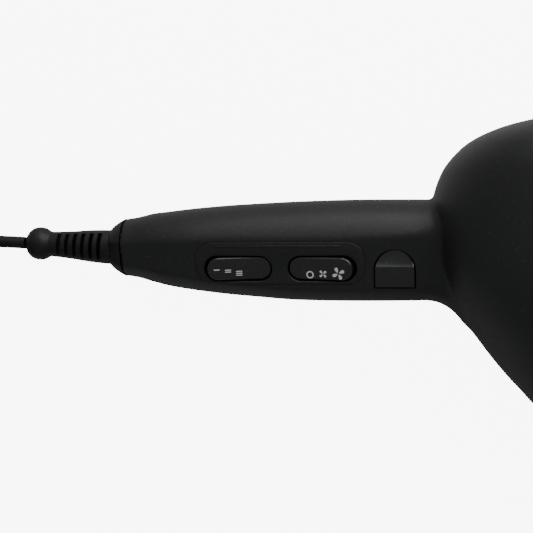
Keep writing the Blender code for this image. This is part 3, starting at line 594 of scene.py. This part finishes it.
# ---------------------------------------------------------------- control plate
# A long inlay with round ends, clipped into the face around both rockers. It's the same black
# plastic, a little finer, so only its eased outline and the two windows stand out.
plate_black = moulded(
    "satin_plate", (0.005, 0.005, 0.0052), 0.4, grain_scale=2900, bump=0.14, shine=0.27
)
plate = slab("rocker_surround", 67.5, 17.0, -1.5, 0.12, 7.0)
for x in (heat_x, speed_x):
    window = slab("window", 27.2, 10.4, -6, 6, 5.2)
    window.data.transform(Matrix.Translation((x - plate_x, rocker_across - plate_across, 0)))
    carve(plate, window)
bevel_edges(plate, lambda a, b: min(a.z, b.z) > 0.1, 0.35, 3)
settle(plate, face_frame(plate_x, plate_across), plate_black)
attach(plate, "dryer")
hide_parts("control_plate")

# A fine raised lip runs along the intake side of the plate, where a thumb finds the rockers.
lip = slab("plate_lip", 50.0, 0.7, -0.3, 0.35, 0.3, 3)
bevel_edges(lip, lambda a, b: min(a.z, b.z) > 0.34, 0.2, 3)
settle(lip, face_frame(-124.0, 5.6), plate_black)
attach(lip, "dryer")


# ---------------------------------------------------------------- rockers
# Two polished rockers with three positions each: heat, pressed at its head end, and air speed,
# pressed at its cord end. Each is slightly dished along its length and turns on a steel pin.
rocker_gloss = moulded(
    "polished_black", (0.005, 0.005, 0.005), 0.2, grain_scale=1500, bump=0.03, shine=0.4
)
ink = moulded("white_ink", (0.42, 0.42, 0.41), 0.5, grain_scale=3000, bump=0.1, dust=0.0)


rocker_top, pivot_depth = 5.3, 0.0046


def dish(point):
    """How far the top lies below its ends."""
    depth, reach = 0.4, 12.2
    return depth * ((point.x / reach) ** 2 - 1) if abs(point.x) < reach else 0.0


def rocker_frame(x, tilt):
    pivot = Matrix.Translation((0, 0, -pivot_depth)) @ Matrix.Rotation(math.radians(tilt), 4, "Y")
    return face_frame(x, rocker_across) @ pivot


def round_bar(x, y, length, width):
    """The outline of a short bar with round ends."""
    reach, radius = (length - width) / 2, width / 2
    half = [(math.cos(a), math.sin(a)) for a in (math.pi * (i / 8 - 0.5) for i in range(9))]
    right = [(x + reach + radius * c, y + radius * s) for c, s in half]
    return right + [(x - reach - radius * c, y - radius * s) for c, s in half]


def blade(x, y, size, turn):
    """One blade of a little fan mark."""
    petal = (
        (0.12, 0.0), (0.3, 0.2), (0.62, 0.38), (0.92, 0.3),
        (1.0, 0.02), (0.84, -0.16), (0.45, -0.12),
    )
    c, s = math.cos(turn), math.sin(turn)
    return [(x + size * (u * c - v * s), y + size * (u * s + v * c)) for u, v in petal]


def print_marks(name, outlines, x, tilt, body):
    """White ink, as thin raised shapes that follow the rocker's dished top."""
    shape = bmesh.new()
    for outline in outlines:
        rings = []
        for lift in (-0.12, 0.03):
            ring = [(u, v, rocker_top + dish(Vector((u, v, 0))) + lift) for u, v in outline]
            rings.append([shape.verts.new(point) for point in ring])
        for i in range(len(outline)):
            j = (i + 1) % len(outline)
            shape.faces.new((rings[0][i], rings[0][j], rings[1][j], rings[1][i]))
        shape.faces.new(rings[0])
        shape.faces.new(rings[1])
    mesh = bpy.data.meshes.new(name)
    shape.to_mesh(mesh)
    shape.free()
    made = add_object(name, mesh)
    settle(made, rocker_frame(x, tilt), ink)
    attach(made, body)


rocker_cuts = [((x, 0, 0), (1, 0, 0)) for x in range(-12, 13, 2)]
for name, x, tilt in (("heat_rocker", heat_x, 6), ("speed_rocker", speed_x, -6)):
    rocker = slab(f"{name}_cap", 25.8, 9.2, -2.0, rocker_top, 4.6, 12)
    bevel_edges(rocker, lambda a, b: min(a.z, b.z) > rocker_top - 0.01, 0.75, 5)
    shape_top(rocker, rocker_cuts, 4.4, dish)
    settle(rocker, rocker_frame(x, tilt), rocker_gloss, 50)
    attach(rocker, name)
    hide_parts(name)

heat_marks = [round_bar(-9.0, -0.2, 2.3, 0.42)]
heat_marks += [round_bar(-4.5, y, 2.5, 0.38) for y in (-0.4, -1.2)]
heat_marks += [round_bar(-0.1, y, 2.6, 0.36) for y in (-1.0, -1.8, -2.6)]
print_marks("heat_marks", heat_marks, heat_x, 6, "heat_rocker")
speed_marks = []
for i in range(20):
    low, high = math.pi * i / 10, math.pi * (i + 1) / 10
    corners = ((1.5, low), (1.5, high), (1.0, high), (1.0, low))
    speed_marks.append([(-4.3 + r * math.cos(a), -2.5 + r * math.sin(a)) for r, a in corners])
speed_marks += [blade(0.9, -2.1, 1.75, math.pi / 2 * i + 0.6) for i in range(4)]
speed_marks += [blade(7.1, -1.7, 2.6, math.pi / 2 * i + 0.3) for i in range(4)]
print_marks("speed_marks", speed_marks, speed_x, -6, "speed_rocker")


# ---------------------------------------------------------------- cool shot button
# An arched, polished button. Its foot is level with the face, and a fold across it starts a
# scoop for the fingertip. It slides in against a spring.
button = arch("cool_shot_cap", 0.0, -4.0, 0.4)
bevel_edges(button, lambda a, b: min(a.z, b.z) > 0.39, 0.45, 4)
fold, scoop_length, scoop_depth = -2.7, 6.45, 2.2
button_cuts = [((0, y, 0), (0, 1, 0)) for y in (fold, -2.3, -1.6, -0.6, 0.6, 1.8, 2.8)]


def scoop(point):
    share = max(point.y - fold, 0) / scoop_length
    return -scoop_depth * (1 - (1 - share) ** 2)


shape_top(button, button_cuts, -0.2, scoop)
settle(button, face_frame(button_x), rocker_gloss, 25)
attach(button, "cool_shot_button")
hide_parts("cool_shot_button")


# ---------------------------------------------------------------- cord entry
# A domed end cap of soft plastic closes the handle, and a tapered boot with a bead at its mouth
# guides the cord. The boot is slotted from both faces, which leaves a spine along each edge.

# Place along the handle, and how far the outline draws in from the handle's end.
cap_rows = (
    (-189.5, 0.0), (-190.3, 0.4), (-191.2, 0.9), (-192.8, 1.9), (-194.4, 3.1), (-195.6, 4.4),
)
spigot_rows = ((-185.6, 2.8), (-189.5, 2.8))
cap_rings = []
for place, inset in (*spigot_rows, *finer(cap_rows, 3)):
    cap_rings.append(handle_section((place, *handle_rows[0][1:]), inset))
end_cap = settle(skin("end_cap", cap_rings), lying, pvc)
lean = Matrix.Translation((-0.188, 0.0013, 0)) @ Matrix.Rotation(math.radians(-3), 4, "Z")
relief_frame = lying @ lean @ Matrix(((0, 0, -1, 0), (0, 1, 0, 0), (1, 0, 0, 0), (0, 0, 0, 1)))
carve(end_cap, rod("cap_bore", 0, 0, -12, 20, 7.2, relief_frame, 64))
tidy(end_cap, 40)
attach(end_cap, "dryer")
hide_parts("handle_end_cap")


def spun(name, profile, place, finish, steps=72, closed=False, angle=35):
    """A profile of radius and height, drawn as a line and spun about its frame's Z."""
    mesh = bpy.data.meshes.new(name)
    count = len(profile)
    lines = [(i, i + 1) for i in range(count - 1)] + ([(count - 1, 0)] if closed else [])
    mesh.from_pydata([(radius, 0, height) for radius, height in profile], lines, [])
    made = add_object(name, mesh)
    bpy.ops.object.select_all(action="DESELECT")
    bpy.context.view_layer.objects.active = made
    made.select_set(True)
    bpy.ops.object.mode_set(mode="EDIT")
    bpy.ops.mesh.select_all(action="SELECT")
    bpy.ops.mesh.spin(steps=steps, angle=2 * math.pi, center=(0, 0, 0), axis=(0, 0, 1))
    bpy.ops.mesh.select_all(action="SELECT")
    bpy.ops.mesh.remove_doubles(threshold=0.001)
    bpy.ops.object.mode_set(mode="OBJECT")
    return settle(made, place, finish, angle)


relief_rows = (
    (6.9, 6.0), (7.05, 9.0), (6.65, 16.9), (5.8, 24.7), (5.25, 32.5), (5.25, 34.0), (5.9, 35.4),
    (6.65, 36.9), (6.85, 38.8), (6.6, 40.7), (5.8, 42.3), (4.6, 43.5), (3.1, 44.4),
)
relief_line = [(0.0, -2.0), (6.8, -2.0), *finer(relief_rows, 4), (0.0, 44.4)]
relief = spun("cord_boot", relief_line, relief_frame, pvc)
first_slot, slot_pitch = 11.6, 3.56
for i in range(6):
    for side in (-1, 1):
        slot_cut = slab("slot", 6.4, 11.0 - 0.48 * i, -0.9, 0.9, 0.5, 3)
        slot_cut.data.transform(Matrix.Translation((side * 5.8, 0, first_slot + slot_pitch * i)))
        carve(relief, settle(slot_cut, relief_frame, pvc))
tidy(relief, 40)
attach(relief, "dryer")
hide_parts("strain_relief")


# ---------------------------------------------------------------- intake filter
# A round grille that pulls off the back of the head. Three rings of holes let the air in, and a
# fine steel mesh behind them catches lint.

# Radius, and place on the barrel's axis.
cap_line = (
    (21.4, 44.0), (22.7, 44.0), (22.7, 50.6), (24.9, 50.6), (25.1, 50.9), (25.1, 51.5), (24.8, 52.2),
    (24.2, 52.6), (18.0, 53.5), (12.0, 54.0), (6.0, 54.25), (2.0, 54.3), (2.0, 52.2), (21.4, 50.6),
)
filter_cap = spun("intake_grille", cap_line, along_barrel, shell_black, 96, True)
for radius, count in ((6.0, 6), (11.2, 12), (16.4, 18)):
    for i in range(count):
        angle = 2 * math.pi * i / count
        x, y = radius * math.cos(angle), radius * math.sin(angle)
        carve(filter_cap, rod("vent", x, y, 48, 58, 1.9, along_barrel, 16))
tidy(filter_cap, 30)
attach(filter_cap, "rear_filter")
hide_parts("rear_filter_cap")


# ---------------------------------------------------------------- concentrator
# A push-on nozzle of the same matt plastic. Its round collar turns on the barrel, and it flattens
# to a slot that lies across the handle's line.

# Place on the barrel's axis, half width, half height, and how square the section is.
outer_rows = (
    (-86.0, 24.3, 24.3, 2.0),
    (-86.3, 24.6, 24.6, 2.0),
    (-101.0, 24.6, 24.6, 2.0),
    (-107.0, 25.2, 23.0, 2.0),
    (-116.0, 27.4, 18.0, 2.2),
    (-126.0, 30.4, 11.6, 2.6),
    (-134.0, 32.4, 7.4, 3.0),
    (-139.6, 33.2, 5.7, 3.4),
    (-140.0, 32.9, 5.4, 3.4),
)
inner_rows = (
    (-140.0, 31.7, 4.1, 3.4),
    (-134.0, 30.8, 5.8, 3.0),
    (-126.0, 28.8, 10.0, 2.6),
    (-116.0, 25.6, 16.4, 2.2),
    (-107.0, 23.0, 21.0, 2.0),
    (-102.2, 22.4, 22.4, 2.0),
    (-86.0, 22.4, 22.4, 2.0),
)


def squared_ring(place, reach_z, reach_x, power, sides):
    """A ring around Y: an ellipse at power 2, and squarer at more."""
    ring = []
    for i in range(sides):
        c, s = math.cos(2 * math.pi * i / sides), math.sin(2 * math.pi * i / sides)
        x = math.copysign(abs(c) ** (2 / power), c) * reach_x
        z = math.copysign(abs(s) ** (2 / power), s) * reach_z
        ring.append((x, place, z))
    return ring


nozzle_rings = []
for rows in (outer_rows, inner_rows):
    nozzle_rings += [squared_ring(*row, 96) for row in finer(rows, 4)]
nozzle = settle(skin("concentrator", nozzle_rings, closed=True), lying, shell_black)
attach(nozzle, "concentrator")
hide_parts("concentrator_nozzle")


# ---------------------------------------------------------------- plug
# A moulded contour plug in the cord's own PVC, waisted for a grip, with ribs across its neck.
# It sits on the end of the cord.

# Place from the neck, half width, and half thickness.
plug_rows = (
    (0.0, 3.4, 3.4), (-4.0, 3.9, 3.8), (-12.0, 5.0, 4.6), (-15.0, 9.6, 7.2), (-21.0, 16.0, 8.3),
    (-28.0, 17.5, 8.4), (-33.0, 17.0, 8.3), (-34.6, 16.2, 7.7), (-35.0, 15.4, 7.0),
)
plug_rings = []
for place, wide, thick in finer(plug_rows, 5):
    rib = 0.35 * math.sin(place * math.pi / 1.3) if -11.5 < place < -1 else 0.0
    power = 2 + 0.9 * min(1, wide / 16)
    plug_rings.append(squared_ring(place, thick + rib, wide + rib, power, 64))
plug_place = Matrix.Translation((-0.227, -0.0653, 0.0087))
plug = settle(skin("mains_plug", plug_rings), plug_place, pvc)
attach(plug, "dryer")
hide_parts("plug_body")


# ---------------------------------------------------------------- inner pieces and metal
# What stays as modelled gets its real finish: plated steel, copper, mica, moulded plastic, the
# circuit board and the coloured leads.
def build_metal_wear():
    """Fine scratches and faint stains that change a metal's gloss and tone."""
    group, given, result = add_group(
        "metal_wear",
        [("Colour", "NodeSocketColor", (0.6, 0.6, 0.6, 1)), ("Roughness", "NodeSocketFloat", 0.3)],
        [
            ("Colour", "NodeSocketColor"),
            ("Roughness", "NodeSocketFloat"),
            ("Normal", "NodeSocketVector"),
        ],
    )
    add, link = group.nodes.new, group.links.new
    place = add("ShaderNodeTexCoord")
    stretch = add("ShaderNodeMapping")
    stretch.inputs["Scale"].default_value = (300, 4000, 300)
    link(place.outputs["Object"], stretch.inputs["Vector"])
    scratch = add("ShaderNodeTexNoise")
    scratch.inputs["Scale"].default_value = 1
    link(stretch.outputs["Vector"], scratch.inputs["Vector"])
    stain = add("ShaderNodeTexNoise")
    stain.inputs["Scale"].default_value = 120
    link(place.outputs["Object"], stain.inputs["Vector"])
    tone = add("ShaderNodeMix")
    tone.data_type = "RGBA"
    tone.blend_type = "MULTIPLY"
    tone.inputs[0].default_value = 0.35
    link(given.outputs["Colour"], tone.inputs[6])
    link(stain.outputs["Fac"], tone.inputs[7])
    link(tone.outputs[2], result.inputs["Colour"])
    rough = add("ShaderNodeMath")
    rough.operation = "MULTIPLY_ADD"
    rough.inputs[1].default_value = 0.15
    link(scratch.outputs["Fac"], rough.inputs[0])
    link(given.outputs["Roughness"], rough.inputs[2])
    link(rough.outputs["Value"], result.inputs["Roughness"])
    bump = add("ShaderNodeBump")
    bump.inputs["Strength"].default_value = 0.1
    bump.inputs["Distance"].default_value = 0.0001
    link(scratch.outputs["Fac"], bump.inputs["Height"])
    link(bump.outputs["Normal"], result.inputs["Normal"])
    return group


metal_group = build_metal_wear()


def metal(name, colour, roughness):
    made, shader = finish_from(name, metal_group, {"Colour": (*colour, 1), "Roughness": roughness})
    shader.inputs["Metallic"].default_value = 1
    return made


steel = metal("plated_steel", (0.62, 0.62, 0.63), 0.24)
mica = moulded("mica_sheet", (0.5, 0.46, 0.38), 0.35, grain_scale=700, bump=0.4, spread=0.3)
finishes = (
    (pvc, "cord_inner_end cord_tie"),
    (
        moulded("inner_grey_plastic", (0.06, 0.06, 0.062), 0.45),
        "heat_switch_body speed_switch_body cool_shot_switch clamp_base clamp_bridge fan_duct "
        "motor_end_cap outlet_bezel",
    ),
    (moulded("fan_white_plastic", (0.72, 0.71, 0.67), 0.42, dust=0.3), "fan_impeller"),
    (
        steel,
        "housing_screw_1 housing_screw_2 housing_screw_3 housing_screw_4 heat_rocker_pin "
        "speed_rocker_pin clamp_screw_1 clamp_screw_2 motor_can motor_shaft rear_bearing "
        "front_bearing thermal_cutout outlet_grille",
    ),
    (metal("filter_mesh_steel", (0.3, 0.3, 0.3), 0.4), "filter_screen"),
    (metal("copper_windings", (0.72, 0.35, 0.2), 0.3), "armature commutator"),
    (metal("heating_wire", (0.42, 0.39, 0.36), 0.35), "heating_coil_1 heating_coil_2"),
    (metal("nickel_pin", (0.66, 0.63, 0.56), 0.22), "plug_pin_1 plug_pin_2"),
    (moulded("ferrite", (0.09, 0.09, 0.09), 0.6, bump=0.5), "magnet_ring"),
    (moulded("carbon_block", (0.03, 0.03, 0.03), 0.65, bump=0.6), "brush_1 brush_2"),
    (mica, "heater_sleeve mica_board_a mica_board_b"),
    (moulded("glazed_ceramic", (0.76, 0.74, 0.7), 0.3, bump=0.08), "thermal_fuse"),
    (moulded("circuit_laminate", (0.03, 0.14, 0.06), 0.4, grain_scale=1200), "rectifier_board"),
    (moulded("brown_insulation", (0.15, 0.06, 0.03), 0.45), "live_lead heater_lead motor_lead_1"),
    (moulded("blue_insulation", (0.03, 0.08, 0.3), 0.45), "neutral_lead motor_lead_2"),
)
for finish, names in finishes:
    for name in names.split():
        for slot in bpy.data.objects[name].material_slots:
            slot.material = finish
